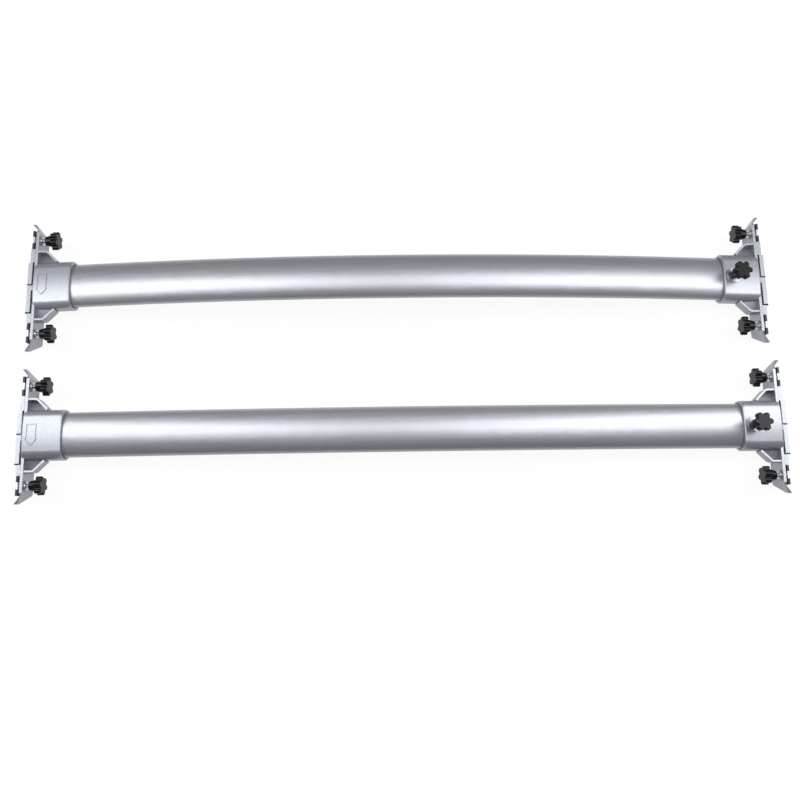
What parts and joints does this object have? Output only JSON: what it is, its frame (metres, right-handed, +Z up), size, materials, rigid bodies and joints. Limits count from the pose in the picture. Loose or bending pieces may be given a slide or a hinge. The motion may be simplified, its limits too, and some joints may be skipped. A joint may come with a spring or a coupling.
{
  "type": "pair of roof cross bars",
  "caption": "Pair of arched oval roof cross bars with cast clamp feet, star clamp knobs and a lock knob on each sliding foot.",
  "frame": {"origin": "on the ground in the middle of the pair's outer box", "axes": "+X along the bars towards the sliding feet, +Y from the front bar to the rear bar, +Z up"},
  "size_m": [1.1214, 0.423, 0.075],
  "materials": {
    "anodised_tube": "satin silver anodised",
    "cast_feet": "satin silver lacquer on a die casting",
    "zinc_steel": "bright zinc plate",
    "black_knob": "moulded, half gloss",
    "black_cap": "moulded, matte",
    "rubber": "matte"
  },
  "bodies": {
    "bars_and_fixed_feet": {"front_tube": "anodised_tube", "front_left_fixing_screws": "zinc_steel", "front_left_foot": "cast_feet", "front_left_rubber_strips": "rubber", "front_left_clamp_caps": "black_cap", "front_left_clamp_washers": "zinc_steel", "front_left_fore_clamp_bolt": "zinc_steel", "front_left_aft_clamp_bolt": "zinc_steel", "rear_tube": "anodised_tube", "rear_left_fixing_screws": "zinc_steel", "rear_left_foot": "cast_feet", "rear_left_rubber_strips": "rubber", "rear_left_clamp_caps": "black_cap", "rear_left_clamp_washers": "zinc_steel", "rear_left_fore_clamp_bolt": "zinc_steel", "rear_left_aft_clamp_bolt": "zinc_steel"},
    "front_sliding_foot": {"front_lock_washer": "zinc_steel", "front_right_foot": "cast_feet", "front_right_rubber_strips": "rubber", "front_right_clamp_caps": "black_cap", "front_right_clamp_washers": "zinc_steel", "front_right_fore_clamp_bolt": "zinc_steel", "front_right_aft_clamp_bolt": "zinc_steel"},
    "front_lock": {"front_lock_knob": "black_knob", "front_lock_stud": "zinc_steel"},
    "front_left_fore_knob": {"front_left_fore_clamp_knob": "black_knob"},
    "front_left_aft_knob": {"front_left_aft_clamp_knob": "black_knob"},
    "front_right_fore_knob": {"front_right_fore_clamp_knob": "black_knob"},
    "front_right_aft_knob": {"front_right_aft_clamp_knob": "black_knob"},
    "rear_sliding_foot": {"rear_lock_washer": "zinc_steel", "rear_right_foot": "cast_feet", "rear_right_rubber_strips": "rubber", "rear_right_clamp_caps": "black_cap", "rear_right_clamp_washers": "zinc_steel", "rear_right_fore_clamp_bolt": "zinc_steel", "rear_right_aft_clamp_bolt": "zinc_steel"},
    "rear_lock": {"rear_lock_knob": "black_knob", "rear_lock_stud": "zinc_steel"},
    "rear_left_fore_knob": {"rear_left_fore_clamp_knob": "black_knob"},
    "rear_left_aft_knob": {"rear_left_aft_clamp_knob": "black_knob"},
    "rear_right_fore_knob": {"rear_right_fore_clamp_knob": "black_knob"},
    "rear_right_aft_knob": {"rear_right_aft_clamp_knob": "black_knob"}
  },
  "joints": [
    {"name": "front_foot_slide", "type": "slide", "parent": "bars_and_fixed_feet", "child": "front_sliding_foot", "axis": [0.998, 0, -0.063], "range_m": [-0.005, 0.015]},
    {"name": "front_lock_turn", "type": "hinge", "parent": "front_sliding_foot", "child": "front_lock", "pos_m": [0.50786, -0.11275, 0.0575], "axis": [0.063, 0, 0.998], "continuous": true},
    {"name": "front_left_fore_knob_turn", "type": "hinge", "parent": "bars_and_fixed_feet", "child": "front_left_fore_knob", "pos_m": [-0.5315, -0.18555, 0.0258], "axis": [1, 0, 0], "continuous": true},
    {"name": "front_left_aft_knob_turn", "type": "hinge", "parent": "bars_and_fixed_feet", "child": "front_left_aft_knob", "pos_m": [-0.5315, -0.03995, 0.0258], "axis": [1, 0, 0], "continuous": true},
    {"name": "front_right_fore_knob_turn", "type": "hinge", "parent": "front_sliding_foot", "child": "front_right_fore_knob", "pos_m": [0.5315, -0.18555, 0.0258], "axis": [1, 0, 0], "continuous": true},
    {"name": "front_right_aft_knob_turn", "type": "hinge", "parent": "front_sliding_foot", "child": "front_right_aft_knob", "pos_m": [0.5315, -0.03995, 0.0258], "axis": [1, 0, 0], "continuous": true},
    {"name": "rear_foot_slide", "type": "slide", "parent": "bars_and_fixed_feet", "child": "rear_sliding_foot", "axis": [0.9935, 0, -0.1139], "range_m": [-0.005, 0.015]},
    {"name": "rear_lock_turn", "type": "hinge", "parent": "rear_sliding_foot", "child": "rear_lock", "pos_m": [0.49932, 0.11275, 0.0566], "axis": [0.1139, 0, 0.9935], "continuous": true},
    {"name": "rear_left_fore_knob_turn", "type": "hinge", "parent": "bars_and_fixed_feet", "child": "rear_left_fore_knob", "pos_m": [-0.5315, 0.03995, 0.0258], "axis": [1, 0, 0], "continuous": true},
    {"name": "rear_left_aft_knob_turn", "type": "hinge", "parent": "bars_and_fixed_feet", "child": "rear_left_aft_knob", "pos_m": [-0.5315, 0.18555, 0.0258], "axis": [1, 0, 0], "continuous": true},
    {"name": "rear_right_fore_knob_turn", "type": "hinge", "parent": "rear_sliding_foot", "child": "rear_right_fore_knob", "pos_m": [0.5215, 0.03995, 0.0258], "axis": [1, 0, 0], "continuous": true},
    {"name": "rear_right_aft_knob_turn", "type": "hinge", "parent": "rear_sliding_foot", "child": "rear_right_aft_knob", "pos_m": [0.5215, 0.18555, 0.0258], "axis": [1, 0, 0], "continuous": true}
  ]
}
